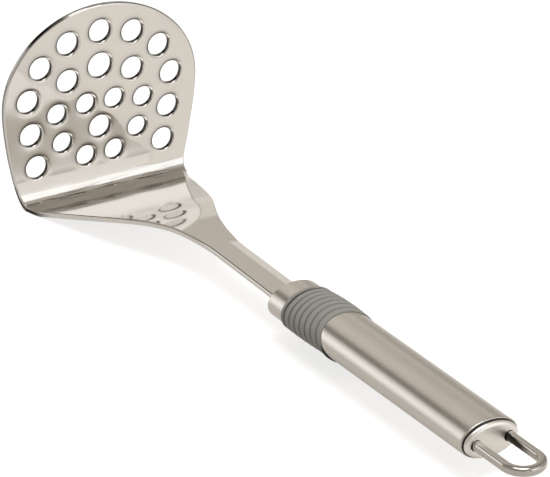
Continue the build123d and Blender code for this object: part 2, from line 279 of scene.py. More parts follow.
def noiseOn(tree, stretch, scale, detail):
    # noise on object coordinates, stretched by the three scales given
    place = tree.nodes.new("ShaderNodeTexCoord")
    mapping = tree.nodes.new("ShaderNodeMapping")
    mapping.inputs["Scale"].default_value = stretch
    tree.links.new(place.outputs["Object"], mapping.inputs["Vector"])
    noise = tree.nodes.new("ShaderNodeTexNoise")
    noise.inputs["Scale"].default_value = scale
    noise.inputs["Detail"].default_value = detail
    tree.links.new(mapping.outputs["Vector"], noise.inputs["Vector"])
    return noise.outputs["Fac"]


def spread(tree, noise, low, high):
    # the noise's usual range spread over the range from low to high
    return remapped(tree, noise, 0.3, 0.7, low, high).outputs[0]


def patchedTint(tree, noise, colour, darker, shadeColour):
    # the colour, a darker share of it in patches, and a painted shade colour where the points are
    # marked
    dark = tuple(value * darker for value in colour)
    tint = mixed(tree, spread(tree, noise, 0, 1), dark, colour, colours=True)
    if shadeColour:
        shadeMark = tree.nodes.new("ShaderNodeAttribute")
        shadeMark.attribute_name = "shadeMark"
        tint = mixed(tree, shadeMark.outputs["Fac"], tint, shadeColour, colours=True)
    return tint


def varyRoughness(tree, shader, source, roughness, low, high):
    # the roughness times a share from low to high
    varied = spread(tree, source, roughness * low, roughness * high)
    tree.links.new(varied, shader.inputs["Roughness"])


def addBump(tree, shader, source, strength, distance):
    bump = tree.nodes.new("ShaderNodeBump")
    bump.inputs["Strength"].default_value = strength
    bump.inputs["Distance"].default_value = distance
    tree.links.new(source, bump.inputs["Height"])
    tree.links.new(bump.outputs["Normal"], shader.inputs["Normal"])


def polishedSteel(name, colour, roughness, cutAndShadeColour=None):
    # mirror polish: faint haze in patches, hair-fine handling lines, and a near-black painted shade
    # where points are marked, over cut edges that are also duller
    material, tree, shader = newMaterial(name, colour, 1, roughness)
    haze = noiseOn(tree, (1, 1, 1), 90, 4)
    varyRoughness(tree, shader, haze, roughness, 0.8, 1.3)
    tree.links.new(patchedTint(tree, haze, colour, 0.97, cutAndShadeColour), shader.inputs["Base Color"])
    lines = noiseOn(tree, (300, 900, 300), 4, 3)
    addBump(tree, shader, lines, 0.04, 0.02 * mm)
    return material


def brushedSteel(name, colour, roughness):
    # satin steel: fine grain along the handle, faint patches and a very fine tooth
    material, tree, shader = newMaterial(name, colour, 1, roughness)
    grain = noiseOn(tree, (1, 0.03, 1), 6000, 2)
    patches = noiseOn(tree, (1, 1, 1), 60, 3)
    varyRoughness(tree, shader, grain, roughness, 0.92, 1.1)
    tree.links.new(patchedTint(tree, patches, colour, 0.96, None), shader.inputs["Base Color"])
    addBump(tree, shader, grain, 0.008, 0.01 * mm)
    return material


def mouldedRubber(name, colour, roughness, grainSize, grooveShadeColour=None):
    # a moulded surface with a fine grain, and painted shade in its grooves
    material, tree, shader = newMaterial(name, colour, 0, roughness)
    grain = noiseOn(tree, (1, 1, 1), 1 / grainSize, 3)
    tint = patchedTint(tree, grain, colour, 0.88, grooveShadeColour)
    tree.links.new(tint, shader.inputs["Base Color"])
    varyRoughness(tree, shader, grain, roughness, 0.9, 1.15)
    addBump(tree, shader, grain, 0.15, 0.05 * mm)
    return material


# the last colour of the head's and the wire's steel is painted shade and painted dark reflection on
# their marked points
headSteel = polishedSteel("polishedHeadSteel", (0.695, 0.673, 0.638), 0.07, (0.035, 0.033, 0.03))
satinSteel = brushedSteel("satinHandleSteel", (0.62, 0.59, 0.545), 0.26)
capSteel = polishedSteel("polishedCapSteel", (0.84, 0.812, 0.765), 0.36)
loopSteel = polishedSteel("polishedWireSteel", (0.50, 0.477, 0.443), 0.08, (0.04, 0.037, 0.033))
plainSteel = brushedSteel("plainInnerSteel", (0.5, 0.5, 0.5), 0.4)
# the grip's last colour is painted shade in its groove, its rib cuts and its flared end
gripRubber = mouldedRubber("greyGripRubber", (0.325, 0.315, 0.295), 0.55, 0.25 * mm,
                           (0.02, 0.02, 0.019))
sealRubber = mouldedRubber("blackSealRubber", (0.012, 0.012, 0.012), 0.6, 0.25 * mm)
corePlastic = mouldedRubber("blackCorePlastic", (0.02, 0.02, 0.02), 0.5, 0.4 * mm)

for node, material in (("tang_bush", corePlastic), ("handle_core", corePlastic),
                       ("loop_anchor", corePlastic), ("tang_pins", plainSteel),
                       ("loop_retainer", plainSteel)):
    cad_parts[node].data.materials.clear()
    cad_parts[node].data.materials.append(material)


# Head: one sheet, worked out flat and then bent

plateTop = headHigh.z - axisHeight - halfSheet * math.sin(head["plateLean"])


def sheetRuns():
    # the middle line as (length, curvature) runs: plate, fold, neck, crest, shank, set and tang
    lean, rise, drop = head["plateLean"], head["neckRise"], head["shankDrop"]
    radius = head["bendRadius"]
    tangentTop = -bendDrop + radius * math.sin(lean)
    footReach = bendReach + radius * math.sin(rise)
    footHeight = -bendDrop - radius * math.cos(rise)
    slopes = math.tan(rise) + math.tan(drop)
    crestReach = (math.tan(drop) * ferruleReach + math.tan(rise) * footReach - footHeight) / slopes
    crestCut = head["neckRadius"] * math.tan((rise + drop) / 2)
    setCut = head["shankSetRadius"] * math.tan(drop / 2)
    neckLength = (crestReach - footReach) / math.cos(rise) - crestCut
    shankLength = (ferruleReach - crestReach) / math.cos(drop) - crestCut - setCut
    return [
        ((plateTop - tangentTop) / math.cos(lean), 0),
        (radius * (math.pi / 2 + lean + rise), 1 / radius),
        (neckLength, 0),
        (head["neckRadius"] * (rise + drop), -1 / head["neckRadius"]),
        (shankLength, 0),
        (head["shankSetRadius"] * drop, 1 / head["shankSetRadius"]),
        (head["tangLength"] - setCut, 0),
    ]


def middleLine(length):
    # reach, height and heading at each length along the sheet: the sum of what each run adds
    length = np.asarray(length, float)
    heading = -math.pi / 2 - head["plateLean"]
    reach = np.full(length.shape, plateTop * math.tan(head["plateLean"]))
    height = np.full(length.shape, plateTop)
    turned = np.full(length.shape, heading)
    start = 0
    for run, curve in sheetRuns():
        way = np.clip(length - start, 0, run)
        if curve:
            reach += (np.sin(heading + curve * way) - math.sin(heading)) / curve
            height += (math.cos(heading) - np.cos(heading + curve * way)) / curve
            turned += curve * way
            heading += curve * run
        else:
            reach += way * math.cos(heading)
            height += way * math.sin(heading)
        start += run
    return reach, height, turned


def pressed(across, length):
    # how far the pressed sheet lies towards the handle's side from its even middle line: a slow
    # wave, a dimple round each hole, a tighter middle of the fold and a set in the plate above it
    waveAcross, waveAlong = head["waveLengths"]
    wave = head["wave"] * np.sin(across / waveAcross) * np.sin(length / waveAlong + 0.6)
    holes = holePlaces()
    away = np.hypot(across[..., None] - holes[:, 0], length[..., None] - holes[:, 1]) - holes[:, 2]
    dimple = head["dimple"] * np.exp(-np.maximum(away, 0) / head["dimpleReach"]).sum(-1)
    pinch = head["foldPinch"] * np.exp(-((length - foldMiddle) / head["foldPinchReach"]) ** 2)
    near = np.exp(-((length - foldMiddle) / head["rippleReach"]) ** 2)
    ripple = head["ripple"] * near * (np.sin(length / (0.6 * mm) + across / (5.3 * mm))
                                      + np.sin(length / (0.85 * mm) - across / (3.1 * mm) + 1))
    above = np.exp(-np.maximum(runEnds[0] - length, 0) / head["plateSetReach"])
    back = smoothStep(length - runEnds[0], *head["plateSetBack"])
    plateSet = head["plateSet"] * above * (1 - back)
    swell = head["swell"] * np.exp(-((across - head["swellAcross"]) / head["swellReach"]) ** 2)
    swell = swell * (1 - smoothStep(length, runEnds[0] - head["swellEnd"], runEnds[0]))
    return wave + ripple - dimple - pinch + plateSet + swell


def paintedFoldStreaks(across, length):
    # painted dark reflection as broken lines along the fold: sines of a wandering length, broken by
    # sines of the place across
    near = np.exp(-((length - foldMiddle - head["streakShift"]) / head["streakReach"]) ** 4)
    wander = length + 0.5 * mm * np.sin(across / (6 * mm))
    lines = np.sin(wander / (0.3 * mm) + 2 * np.sin(across / (11 * mm)))
    breaks = np.sin(across / (4.2 * mm) + 3 * np.sin(wander / (0.8 * mm)))
    return head["paintedStreaks"] * near * smoothStep(lines * breaks, 0.1, 0.8)


def bendSheet(across, length, rise):
    # a flat place on the sheet, and its rise towards the handle's side, as a place in the frame
    reach, height, heading = middleLine(length)
    roll = head["rollSlope"] * np.maximum(across - head["rollStart"], 0)
    shown = 1 - smoothStep(reach, gripFrontReach, gripFrontReach + head["tangFade"])
    roll *= smoothStep(reach, *head["rollReach"]) * (rise > 0) * shown
    shift = head["shankShift"] * smoothStep(reach, *head["shiftReach"]) * shown
    offset = rise + pressed(across, length) - roll
    height = np.maximum(height + offset * np.cos(heading), -axisHeight)      # it rests on the table
    return toWorld(across + shift, reach - offset * np.sin(heading), height)


def sideWidth(height):
    # half the plate's width under its widest line: a quartic through the side and the corner
    widest = head["widestHeight"]
    side = head["sideHeight"]
    powers = np.arange(5)
    slope = powers * np.array([0, 1, widest, widest ** 2, widest ** 3])
    rows = [widest ** powers, slope, side ** powers, 0.0 ** powers, (powers == 1) * 1.0]
    values = [headHigh.x, 0, head["sideHalfWidth"], head["cornerHalfWidth"],
              math.tan(head["cornerLean"])]
    terms = np.linalg.solve(np.array(rows), np.array(values))
    return np.polynomial.polynomial.polyval(np.minimum(height, widest), terms)


def neckWidth(reach):
    # half the neck's width: monotone cubic spans through the flare's points, level at the shank
    front, end = head["neckFrontReach"], head["flareEndReach"]
    wide, narrow = head["neckHalfWidth"], head["shankHalfWidth"]
    shares = np.array([(0, 0)] + head["neckShares"] + [(1, 1)])
    knots = front + (end - front) * shares[:, 0]
    widths = wide + (narrow - wide) * shares[:, 1]
    steps = np.diff(widths) / np.diff(knots)
    gaps = np.diff(knots)
    slopes = np.concatenate([[steps[0]], (steps[:-1] * gaps[1:] + steps[1:] * gaps[:-1])
                             / (gaps[1:] + gaps[:-1]), [0]])
    index = np.clip(np.searchsorted(knots, reach) - 1, 0, len(gaps) - 1)
    gap = gaps[index]
    t = np.clip((reach - knots[index]) / gap, 0, 1)
    square, cube = t * t, t * t * t
    leave, arrive = gap * slopes[index], gap * slopes[index + 1]
    return ((2 * cube - 3 * square + 1) * widths[index] + (cube - 2 * square + t) * leave
            + (3 * square - 2 * cube) * widths[index + 1] + (cube - square) * arrive)


def sheetWidth(length):
    # half the sheet's width at each length below the crown
    reach, height, _ = middleLine(length)
    plate = sideWidth(axisHeight + height)
    neck = np.where(reach < head["neckFrontReach"], np.inf, neckWidth(reach))
    behindFold = length > runEnds[0] + 0.4 * (runEnds[1] - runEnds[0])
    width = np.where(behindFold, np.minimum(plate, neck), plate)
    inFerrule = np.clip((reach - gripFrontReach) / (0.5 * mm), 0, 1)
    return width + (head["tangHalfWidth"] - head["shankHalfWidth"]) * inFerrule


runEnds = np.cumsum([run for run, _ in sheetRuns()])
foldMiddle = (runEnds[0] + runEnds[1]) / 2
seamTurn = math.asin((axisHeight - bendDrop - head["seamHeight"]) / head["bendRadius"])
seamLength = runEnds[0] + head["bendRadius"] * (seamTurn + head["plateLean"])


def edgeProfile():
    # inset and rise round the sheet's edge, from the inner face over the wall to the outer face:
    # the inner edge is a line whose slope goes through the turns given, the outer a small round
    angles, steps = [], []
    for first, last, length in head["edgeTurns"]:
        count = 5
        angles += list(np.radians(first + (last - first) * (np.arange(count) + 0.5) / count))
        steps += [length * mm / count] * count
    angles, steps = np.array(angles), np.array(steps)
    along = np.concatenate([[0], np.cumsum(steps * np.cos(angles))])
    fall = np.concatenate([[0], np.cumsum(steps * np.sin(angles))])
    upper = np.stack([along[-1] - along, halfSheet - fall], -1)
    outer = head["outerEdgeRound"]
    back = np.linspace(math.pi / 2, 0, 7)
    lower = np.stack([outer * (1 - np.sin(back)), -halfSheet + outer * (1 - np.cos(back))], -1)
    return np.concatenate([upper, lower])


faceColumns = 76


def faceShares():
    # shares across a face, closer together at both edges so that their curve stays at the edge
    return np.concatenate([[-1], np.linspace(-0.994, 0.994, faceColumns - 2), [1]])


def ruledPart():
    # everything below the seam: a closed section carried along the middle line, and its painted
    # streaks of dark reflection
    spans = [(seamLength, runEnds[1], 44), (runEnds[1], runEnds[3], 60),
             (runEnds[3], runEnds[4], 40), (runEnds[4], runEnds[6], 70)]
    lengths = np.concatenate([np.linspace(a, b, count, endpoint=False) for a, b, count in spans]
                             + [[runEnds[6]]])
    width = sheetWidth(lengths)[:, None]
    edge = edgeProfile()
    face = faceShares()
    share = np.concatenate([face, np.ones(len(edge)), face[::-1], -np.ones(len(edge))])
    inner, outer = [np.tile(end, (len(face), 1)) for end in (edge[0], edge[-1])]
    inset, rise = np.concatenate([inner, edge, outer, edge[::-1]]).T
    across = trimmed(share * (width - inset))
    length = np.broadcast_to(lengths[:, None], across.shape)
    points = bendSheet(across, length, np.broadcast_to(rise, across.shape))
    tangEnd = points[-len(share):]
    onFace = np.arange(len(share)) < len(face)
    paintedStreaks = (paintedFoldStreaks(across, length) * onFace).ravel()
    parts = [(points, gridFaces(len(lengths), len(share), closed=True)),
             (tangEnd, [list(range(len(share)))])]
    return parts, paintedStreaks


def trimmed(across):
    # the outline's left half, drawn in by its share
    return np.where(across < 0, across * (1 - head["leftTrim"]), across)


def plateLengthAt(height):
    # length along the flat of the plate at a height over the table
    return (headHigh.z - height) / math.cos(head["plateLean"])


def plateOutline():
    # the crown, half an oval, and both sides down to the seam: flat places and outward directions
    count = 90
    turn = np.linspace(math.pi / 2, 0, count)
    widest = head["widestHeight"]
    tall = headHigh.z - widest
    crown = np.stack([headHigh.x * np.cos(turn), plateLengthAt(widest + tall * np.sin(turn))], -1)
    sideLengths = np.linspace(plateLengthAt(widest), seamLength, 60)[1:]
    side = np.stack([sheetWidth(sideLengths), sideLengths], -1)
    right = np.concatenate([crown, side])
    step = np.gradient(right, axis=0)
    outward = np.stack([step[:, 1], -step[:, 0]], -1)
    outward /= np.linalg.norm(outward, axis=1)[:, None]
    outward[0] = (0, -1)
    level = np.clip((right[:, 1] - seamLength + 6 * mm) / (6 * mm), 0, 1)[:, None]
    outward = outward * (1 - level) + np.array([1, 0]) * level
    outward /= np.linalg.norm(outward, axis=1)[:, None]
    flip = np.array([-1, 1])
    return (np.concatenate([right[::-1] * flip, right[1:]]),
            np.concatenate([outward[::-1] * flip, outward[1:]]))


def holePlaces():
    # every hole as across, length and radius, on both halves
    places = []
    for radius, shares in plateHoles:
        for acrossShare, heightShare in shares:
            for side in ((1,) if acrossShare == 0 else (-1, 1)):
                places.append((side * acrossShare * headHigh.x,
                               plateLengthAt(heightShare * headHigh.z), radius))
    return np.array(places)


holeColumns = 56
ringSteps = np.array([0.12, 0.3, 0.55, 0.9, 1.4]) * mm     # of the support rings round each hole


def plateFace(outline, outward, holes, inset, holeGrow, rise):
    # one face of the plate, triangulated between its inset outline and its holes, and its painted
    # shade marks
    support = 0.12 * mm
    grown = holes + np.array([0, 0, holeGrow])

    def drawnIn(points):
        return np.stack([trimmed(points[:, 0]), points[:, 1]], -1)

    border = drawnIn(outline - outward * inset)
    seam = np.stack([faceShares() * (sheetWidth(np.array([seamLength]))[0] - inset),
                     np.full(faceColumns, seamLength)], -1)
    loop = np.concatenate([border, drawnIn(seam[1:-1][::-1])])
    extra = [hole[:2] + circle(holeColumns) * (hole[2] + more)
             for hole in grown for more in ringSteps]
    extra.append(drawnIn(outline - outward * (inset + support))[1:-1])
    extra.append(drawnIn(outline - outward * (inset + 4 * support))[2:-2])
    rows = np.concatenate([np.arange(1.5 * mm, runEnds[0] - 0.5 * mm, 1.5 * mm),
                           np.arange(runEnds[0], seamLength - 0.2 * mm, 0.4 * mm)])
    columns = np.arange(-headHigh.x, headHigh.x, 1.5 * mm)
    inside = np.stack(np.meshgrid(columns, rows), -1).reshape(-1, 2)
    toBorder = np.linalg.norm(inside[:, None] - border[None], axis=2)
    nearest = toBorder.argmin(1)
    depth = np.einsum("ij,ij->i", border[nearest] - inside, outward[nearest])
    keep = (fromHoles(inside, grown) > 1.9 * mm) & (toBorder.min(1) > 8 * support) & (depth > 0)
    extra.append(inside[keep])

    places, triangles = holedFace(loop, grown, holeColumns, extra)
    points = bendSheet(places[:, 0], places[:, 1], np.full(len(places), rise))
    across, length = places.T
    shade = np.maximum(paintedRimShade(across, length, grown), paintedFoldStreaks(across, length))
    return (points, triangles), shade * (rise > 0)


def paintedRimShade(across, length, holes):
    # painted dark reflection: 1 at the shaded side of a hole's edge, fading out away from it and
    # round to the other side
    offset = np.stack([across[..., None] - holes[:, 0], length[..., None] - holes[:, 1]], -1)
    far = np.linalg.norm(offset, axis=-1)
    side = smoothStep(offset @ np.array(head["shadeSide"]) / far, *head["shadeFade"])
    return (side * np.exp(-np.abs(far - holes[:, 2]) / head["shadeReach"])).max(-1)


def holedPlate():
    # the plate's two faces, its rim and the walls of its holes, with the painted shade marks of
    # each
    outline, outward = plateOutline()
    holes = holePlaces()
    edge = edgeProfile()
    inner, outer = head["holeInnerRound"], head["holeOuterRound"]
    faces = [
        plateFace(outline, outward, holes, edge[0, 0], inner, edge[0, 1]),
        plateFace(outline, outward, holes, edge[-1, 0], outer, edge[-1, 1]),
    ]
    parts = [part for part, _ in faces]
    shadeMarks = [shade for _, shade in faces]
    rim = outline[:, None] - outward[:, None] * edge[None, :, :1]
    rises = np.broadcast_to(edge[None, :, 1], rim.shape[:2])
    parts.append((bendSheet(trimmed(rim[..., 0]), rim[..., 1], rises), gridFaces(*rim.shape[:2])))
    # the rim wall gets painted shade over its duller cut steel, darkest where a dark reflection is
    # painted
    dark = smoothStep(outward @ np.array(head["rimShadeSide"]), *head["rimShadeFade"])
    fromTop = head["cutTop"] + (head["cutTopDark"] - head["cutTop"]) * dark[:, None]
    fromTop = np.where(rim[:, :1, 0] > 0, head["cutTopRight"], fromTop)
    strength = head["rimMark"] + (1 - head["rimMark"]) * dark
    shadeMarks.append((edge[None, :, 1] < fromTop) * strength[:, None])
    turn = np.linspace(0, math.pi / 2, 9)
    back = np.linspace(math.pi / 2, 0, 5)
    grow = np.concatenate([inner * (1 - np.sin(turn)), outer * (1 - np.sin(back))])
    rise = np.concatenate([halfSheet - inner * (1 - np.cos(turn)),
                           -halfSheet + outer * (1 - np.cos(back))])
    # the hole walls below their round get full painted shade, and their edges the painted dark
    # reflection
    cut = rise < halfSheet - 0.5 * inner
    ring = circle(holeColumns)
    for across, length, radius in holes:
        wall = np.array([across, length]) + ring[None] * (radius + grow)[:, None, None]
        rises = np.broadcast_to(rise[:, None], wall.shape[:2])
        points = bendSheet(wall[..., 0], wall[..., 1], rises)
        parts.append((points, gridFaces(*wall.shape[:2], closed=True)))
        here = np.array([[across, length, radius + inner]])
        shadeMarks.append(np.maximum(cut[:, None], paintedRimShade(wall[..., 0], wall[..., 1], here)))
    return parts, shadeMarks


def makeHead():
    # the cut wall of the ruled part gets painted shade as the plate's does, fading out behind the
    # fold
    ruled, paintedStreaks = ruledPart()
    plate, plateMarks = holedPlate()
    onWall = edgeProfile()[:, 1] < head["cutTop"]
    onFace = np.zeros(faceColumns)
    behind = zeroY - ruled[0][0][:, 1]
    section = np.concatenate([onFace, onWall, onFace, onWall[::-1]])
    fade = 1 - smoothStep(behind, *head["cutFade"])
    walls = np.tile(section, len(behind) // len(section)) * fade
    shadeMarks = [np.maximum(walls, paintedStreaks), np.zeros(len(ruled[1][0]))]
    shadeMarks = np.concatenate(shadeMarks + [shadeMark.ravel() for shadeMark in plateMarks])
    addPiece("headSheet", ruled + plate, headSteel, "masher_head", shadeMarks)


makeHead()


# Handle: closed shells carried along the axis

tube = {
    "wall": 0.8 * mm,
    "endRound": 0.38 * mm,
    "frontHalfSize": np.array([11.8, 7.55]) * mm,
    "backHalfSize": np.array([11.7, 7.2]) * mm,
    "cut": math.radians(35.0),
}
cutSlope = math.tan(tube["cut"])
tubeTipReach = zeroY - tubeHigh.y
tubeBackReach = zeroY - tubeLow.y
tubeEdgeReach = tubeTipReach + tube["frontHalfSize"][1] * cutSlope
slip = 0.06 * mm
ovalColumns = 192


def tubeHalfSize(reach, inset=0.0):
    # half the tube's width and depth, tapering evenly from its tip to its back
    share = (reach - tubeTipReach) / (tubeBackReach - tubeTipReach)
    return tube["frontHalfSize"] + (tube["backHalfSize"] - tube["frontHalfSize"]) * share - inset


def ovalRing(reach, halfSize, slope=0.0, lift=0.0):
    # one ring: an oval whose reach leans forward at its top by the slope
    ring = circle(ovalColumns) * halfSize
    return np.stack([ring[:, 0], reach - slope * ring[:, 1], ring[:, 1] + lift], -1)


def slotRing(reach, halfWidth, halfHeight):
    # one ring round a slot: the rectangle's point in the same direction as each point of an oval
    ring = circle(ovalColumns) * (halfWidth, halfHeight)
    grow = np.maximum(np.abs(ring[:, 0]) / halfWidth, np.abs(ring[:, 1]) / halfHeight)
    ring = ring / grow[:, None]
    return np.stack([ring[:, 0], np.full(ovalColumns, reach), ring[:, 1]], -1)


def shell(rings, loop=True, shift=(0, 0)):
    # rings joined one to the next, and the last to the first if the shell is a loop
    rings = np.array(rings + ([rings[0]] if loop else []))
    points = toWorld(rings[..., 0] + shift[0], rings[..., 1], rings[..., 2] + shift[1])
    return points, gridFaces(*rings.shape[:2], closed=True)


def roundSteps(count=7):
    # sine and cosine of the turns of a quarter round
    turn = np.linspace(0, math.pi / 2, count)
    return np.stack([np.sin(turn), np.cos(turn)], -1)


ferrule = {
    "halfSize": np.array([11.3, 7.2]) * mm,
    "wall": 0.8 * mm,
    "edgeRound": 0.6 * mm,
    "hidden": 3.0 * mm,
    "slot": (6.5 * mm, 1.1 * mm),
    "shift": (-0.25 * mm, -0.1 * mm),
}


def ferruleShell():
    # from the slot over the closed front and the rounded edge, back outside and home inside
    front, back = ferruleReach, gripFrontReach + ferrule["hidden"]
    soft, wall, size = ferrule["edgeRound"], ferrule["wall"], ferrule["halfSize"]
    rings = [slotRing(front + wall, *ferrule["slot"]), slotRing(front, *ferrule["slot"])]
    rings += [ovalRing(front + soft * (1 - cosine), size - soft * (1 - sine))
              for sine, cosine in roundSteps(9)]
    rings += [ovalRing(reach, size) for reach in np.linspace(front + 1.5 * soft, back, 12)]
    rings += [ovalRing(back, size - wall), ovalRing(front + wall, size - wall)]
    return shell(rings, shift=ferrule["shift"])


addPiece("ferruleCollar", [ferruleShell()], satinSteel, "front_ferrule")


grip = {
    "frontHalfSize": np.array([11.6, 8.6]) * mm,
    "length": 44.0 * mm,
    "frontRound": 0.45 * mm,
    "lip": 1.5 * mm,
    "groove": 0.7 * mm,
    "grooveDepth": 0.8 * mm,
    "ribs": 7,
    "bulge": 0.5 * mm,
    "cutDepth": 0.5 * mm,             # of the fine cut between two ribs
    "cutShare": 0.075,                # its half width as a share of the rib
    "lineDepth": 0.16 * mm,           # of the second, shallower line on each rib
    "lineShare": 0.24,
    "lineWidth": 0.045,
    "crown": 0.14 * mm,
    "cutShade": 0.75,                  # how dark the painted shade in the cut and in the line is
    "lineShade": 0.3,
    "tubeGap": 0.6 * mm,
    "endSlope": 0.9,                  # its end leans by this share of the tube's cut
    "coreInset": 2.2 * mm,
    "shift": np.array([-0.25, -0.1]) * mm,      # of its front, with the ferrule
    "rearShift": np.array([0.35, 0.3]) * mm,
    "flare": 1.3 * mm,                # its end stands off the tube by this much on one side
    "flareSide": (-0.6, -0.8),
    "flareFade": (0.5, 0.95),         # cosines from that side where it starts and is full
    "flarePower": 8,                  # of the share along the ribs by which it grows
    "flareShade": (0.9, 0.98),         # and the shares where its end gets painted shade
}


def ribProfile(share):
    # how far the rubber lies under its crown at each share of a rib: a fine cut at both ends, a
    # shallow line behind it and a gentle curve from one cut to the next, and the painted shade in
    # the cut and the line
    cut = sum(math.exp(-(way / grip["cutShare"]) ** 2) for way in (share, 1 - share))
    line = math.exp(-((share - grip["lineShare"]) / grip["lineWidth"]) ** 2)
    crown = grip["crown"] * (2 * share - 1.1) ** 2
    under = grip["cutDepth"] * cut + grip["lineDepth"] * line + crown
    return under, grip["cutShade"] * cut + grip["lineShade"] * line


def gripShell():
    # lip, groove and leaning ribs outside, and the seats of the ferrule and the core inside, with
    # painted shade in the groove, the rib cuts and the flared end
    lipEnd = gripFrontReach + grip["lip"]
    ribsStart = lipEnd + grip["groove"]
    ribsEnd = tubeEdgeReach - grip["tubeGap"]
    soft, size = grip["frontRound"], grip["frontHalfSize"]
    endSlope = cutSlope * grip["endSlope"]
    flare = smoothStep(circle(ovalColumns) @ np.array(grip["flareSide"]), *grip["flareFade"])
    flareOut = circle(ovalColumns) * flare[:, None] * grip["flare"]
    rings, shadeMarks = [], []

    def addRing(reach, halfSize, slope=0.0, shadeMark=0.0, share=0.0, rear=0.0):
        ring = ovalRing(reach, halfSize, slope)
        ring[:, [0, 2]] += grip["shift"] * (1 - share) + grip["rearShift"] * rear
        ring[:, [0, 2]] += flareOut * rear ** grip["flarePower"]
        rings.append(ring)
        shadeMarks.append(np.minimum(shadeMark + flare * smoothStep(rear, *grip["flareShade"]), 1))

    for sine, cosine in roundSteps(6):
        addRing(gripFrontReach + soft * (1 - cosine), size - soft * (1 - sine))
    for sine, cosine in roundSteps(6)[::-1]:
        addRing(lipEnd - soft * (1 - cosine) * 0.8, size - 0.5 * soft * (1 - sine))
    # the groove is fully painted with shade
    for share, drop in ((0.1, 0.8), (0.3, 1.0), (0.6, 1.0), (0.85, 0.8)):
        addRing(lipEnd + share * grip["groove"], size - grip["grooveDepth"] * drop, shadeMark=1)
    tubeSize = tubeHalfSize(tubeTipReach)
    for way in np.linspace(0, 1, grip["ribs"] * 26 + 1):
        drop, shadeMark = ribProfile(way * grip["ribs"] % 1)
        outset = grip["bulge"] * 4 * way * (1 - way) - drop
        addRing(ribsStart + (ribsEnd - ribsStart) * way, size + (tubeSize - size) * way + outset,
                endSlope * way, shadeMark, way, way)
    addRing(ribsEnd, tubeHalfSize(tubeEdgeReach, tube["wall"] + slip), endSlope, 1, 1)
    back = gripFrontReach + grip["length"]
    addRing(back, tubeHalfSize(back, tube["wall"] + slip), 0, 1, 1)
    inner = tube["wall"] + grip["coreInset"] - slip
    seat = gripFrontReach + ferrule["hidden"]
    addRing(back, tubeHalfSize(back, inner), 0, 1, 1)
    addRing(seat, tubeHalfSize(seat, inner), 0, 1, 1)
    addRing(seat, ferrule["halfSize"] + slip, 0, 1, 0)
    addRing(gripFrontReach, ferrule["halfSize"] + slip)
    shadeMarks.append(shadeMarks[0])
    return shell(rings), np.concatenate(shadeMarks)


gripPart, gripMarks = gripShell()
addPiece("ribbedGrip", [gripPart], gripRubber, "grip_sleeve", gripMarks)


def tubeShell():
    # outside, both rounded ends and inside, as one closed shell; along runs from 0 at the slanted
    # front to 1 at the back
    soft, wall = tube["endRound"], tube["wall"]
    length = tubeBackReach - tubeEdgeReach
    ends = soft * (1 - roundSteps())
    stations = [(along / length, inset) for inset, along in ends]
    stations += [(along, 0) for along in np.linspace(0, 1, 60)[1:-1]]
    stations += [(1 - along / length, inset) for along, inset in ends]
    stations += [(along, wall) for along in np.linspace(1, 0, 30)]
    rings = []
    for along, inset in stations:
        reach = tubeEdgeReach + length * along
        rings.append(ovalRing(reach, tubeHalfSize(reach, inset), cutSlope * (1 - along)))
    return shell(rings)


addPiece("tubeShell", [tubeShell()], satinSteel, "handle_tube")


cap = {
    "inset": 0.75 * mm,
    "rimWidth": 1.7 * mm,
    "skirt": 0.9 * mm,
    "dome": 0.22 * mm,
    "side": 0.3 * mm,                 # the height of its straight side under the rounded rim
    "chamfer": 0.1 * mm,
    "legHole": 1.98 * mm,
    "holeShift": (-0.08 * mm, -0.12 * mm),      # of the holes from the legs, across and up
    "holeRound": 0.18 * mm,
    "grid": (10.0 * mm, 6.0 * mm, 0.6 * mm),    # of the points over its faces: half sizes and step
}
gasketInset = 0.4 * mm
capFrontReach = zeroY - gasketLow.y
capBackReach = zeroY - capLow.y
skirtReach = zeroY - capHigh.y
pocketReach = zeroY - anchorLow.y
skirtSize = tubeHalfSize(tubeBackReach, tube["wall"] + slip)


def gasketRing():
    outer = tubeHalfSize(tubeBackReach, gasketInset)
    middle = (tubeBackReach + capFrontReach) / 2
    half = (capFrontReach - tubeBackReach) / 2
    turn = np.linspace(-math.pi / 2, math.pi / 2, 9)
    rings = [ovalRing(middle + half * math.sin(t), outer - half * (1 - math.cos(t))) for t in turn]
    rings += [ovalRing(capFrontReach, skirtSize + slip), ovalRing(tubeBackReach, skirtSize + slip)]
    return shell(rings)


addPiece("capGasketRing", [gasketRing()], sealRubber, "cap_gasket")


loop = {
    "wire": 1.7 * mm,
    "squareness": 2.7,                # the power of its section: 2 is round
    "darkLength": 21.0 * mm,          # the legs' inner sides carry a painted dark reflection over this, tapering
    "darkFade": (0.3, 0.65),          # cosines where that painted dark starts and is full
    "darkFoot": (-0.6 * mm, 0.1 * mm),          # and they have painted shade all round inside the cap
    "legAcross": 6.8 * mm,
    "headRadius": 2.3 * mm,
    "headLength": 1.2 * mm,
}
legColumns = 40


def flatFace(size, holes, reachOf):
    # one oval face of the cap with its two leg holes, and a grid of points over it
    wide, tall, step = cap["grid"]
    grid = np.meshgrid(np.arange(-wide, wide, step), np.arange(-tall, tall, step))
    grid = np.stack(grid, -1).reshape(-1, 2)
    inner = np.sum((grid / size) ** 2, -1) < 0.9
    clear = fromHoles(grid, holes) > 0.4 * mm
    rings = [hole[:2] + circle(legColumns) * (hole[2] + 0.15 * mm) for hole in holes]
    rings = np.concatenate(rings)
    fits = np.sum((rings / size) ** 2, -1) < 0.97
    places, triangles = holedFace(circle(ovalColumns) * size, holes, legColumns,
                                  [grid[inner & clear], rings[fits]])
    return toWorld(places[:, 0], reachOf(places), places[:, 1]), triangles


